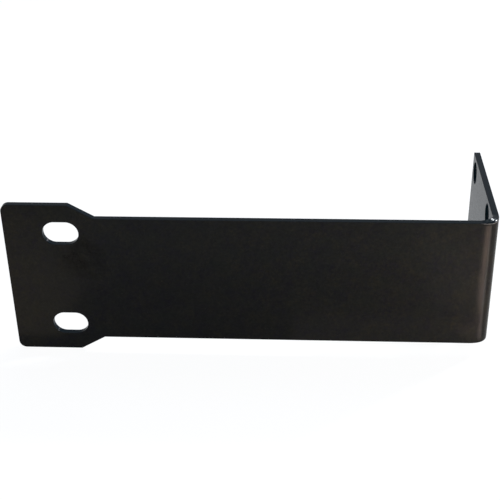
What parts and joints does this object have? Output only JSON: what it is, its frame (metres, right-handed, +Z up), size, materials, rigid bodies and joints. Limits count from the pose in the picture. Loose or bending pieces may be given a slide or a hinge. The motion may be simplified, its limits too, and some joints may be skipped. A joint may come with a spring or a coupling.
{
  "type": "rack mount ear bracket",
  "caption": "Folded steel ear that holds a narrow device in an equipment rack: slotted head, tapered shoulders, long strap and a flange drilled for the device's side screws.",
  "frame": {"origin": "midway between the two rack slots, on the head's back face, where it seats on the rack's rail", "axes": "+X runs along the strap from the head to the flange, +Y to the rear of the rack, +Z up as mounted"},
  "size_m": [0.127, 0.0424, 0.044],
  "materials": {
    "black_paint": "satin black paint, smooth, with rounded cut edges"
  },
  "bodies": {
    "root": {"ear": "black_paint"}
  },
  "joints": []
}
